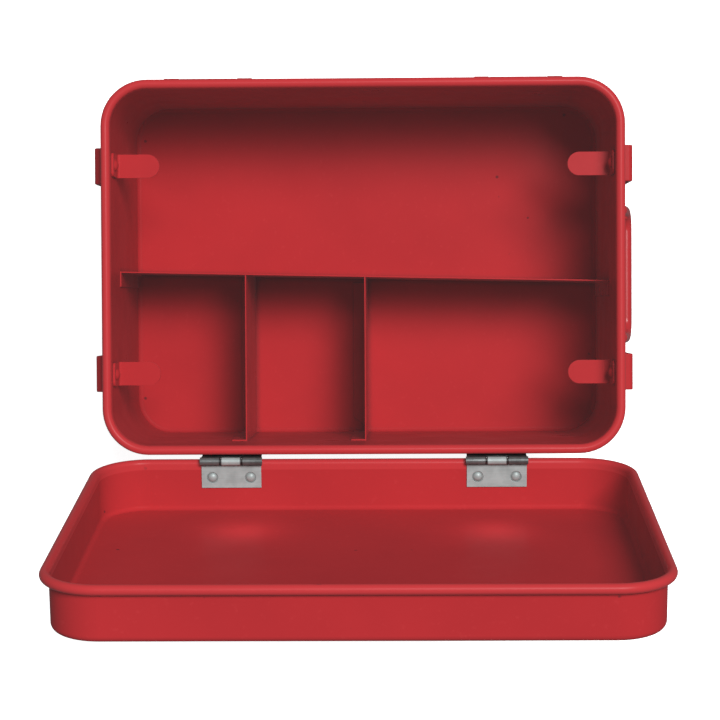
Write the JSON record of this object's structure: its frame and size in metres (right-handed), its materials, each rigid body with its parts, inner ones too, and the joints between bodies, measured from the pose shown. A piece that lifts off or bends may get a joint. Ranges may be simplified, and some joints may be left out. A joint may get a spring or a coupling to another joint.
{
  "type": "carpenter toolbox",
  "caption": "Shallow rectangular sheet-steel toolbox with rolled rims, a butt-hinged tray lid, sheet dividers, inner tongues, strap loops, swing catches and a drop handle on one side.",
  "frame": {"origin": "middle of the back panel's flat resting face, on the surface the box lies on", "axes": "+Z out of the box's opening, +X towards the side wall with the drop handle, +Y away from the hinges"},
  "size_m": [0.3693, 0.3467, 0.4041],
  "materials": {
    "body_paint": "semi-gloss red powder coat",
    "lid_paint": "semi-gloss red powder coat",
    "divider_paint": "semi-gloss red powder coat",
    "fitting_paint": "semi-gloss red powder coat",
    "handle_paint": "semi-gloss red powder coat",
    "hinge_steel": "zinc-plated, lightly brushed",
    "pin_steel": "zinc-plated, lightly brushed"
  },
  "bodies": {
    "root": {"body_shell": "body_paint", "long_divider": "divider_paint", "short_divider_left": "divider_paint", "short_divider_centre": "divider_paint", "corner_rivets": "fitting_paint", "handle_bracket_upper": "fitting_paint", "handle_bracket_lower": "fitting_paint", "handle_pin_upper": "fitting_paint", "handle_pin_lower": "fitting_paint", "tongue_upper_left": "fitting_paint", "strap_loop_upper_left": "fitting_paint", "tongue_lower_left": "fitting_paint", "strap_loop_lower_left": "fitting_paint", "tongue_upper_right": "fitting_paint", "strap_loop_upper_right": "fitting_paint", "tongue_lower_right": "fitting_paint", "strap_loop_lower_right": "fitting_paint", "hinge_body_leaf_left": "hinge_steel", "hinge_pin_left": "pin_steel", "catch_base_left": "fitting_paint", "catch_pin_left": "pin_steel", "hinge_body_leaf_right": "hinge_steel", "hinge_pin_right": "pin_steel", "catch_base_right": "fitting_paint", "catch_pin_right": "pin_steel"},
    "lid": {"lid_shell": "lid_paint", "hinge_lid_leaf_left": "hinge_steel", "hinge_lid_leaf_right": "hinge_steel", "hinge_rivets_left": "hinge_steel", "hinge_rivets_right": "hinge_steel"},
    "handle": {"handle_bail": "handle_paint"},
    "catch_left": {"catch_plate_left": "fitting_paint"},
    "catch_right": {"catch_plate_right": "fitting_paint"}
  },
  "joints": [
    {"name": "lid_hinge", "type": "hinge", "parent": "root", "child": "lid", "pos_m": [0, -0.13, 0.1487], "axis": [-1, 0, 0], "range_deg": [0, 101]},
    {"name": "handle_swing", "type": "hinge", "parent": "root", "child": "handle", "pos_m": [0.1763, -0.0055, 0.111], "axis": [0, -1, 0], "range_deg": [0, 166]},
    {"name": "catch_left_swing", "type": "hinge", "parent": "root", "child": "catch_left", "pos_m": [-0.106, 0.127, 0.111], "axis": [1, 0, 0], "range_deg": [-3, 170.4]},
    {"name": "catch_right_swing", "type": "hinge", "parent": "root", "child": "catch_right", "pos_m": [0.106, 0.127, 0.111], "axis": [1, 0, 0], "range_deg": [-3, 170.4]}
  ]
}
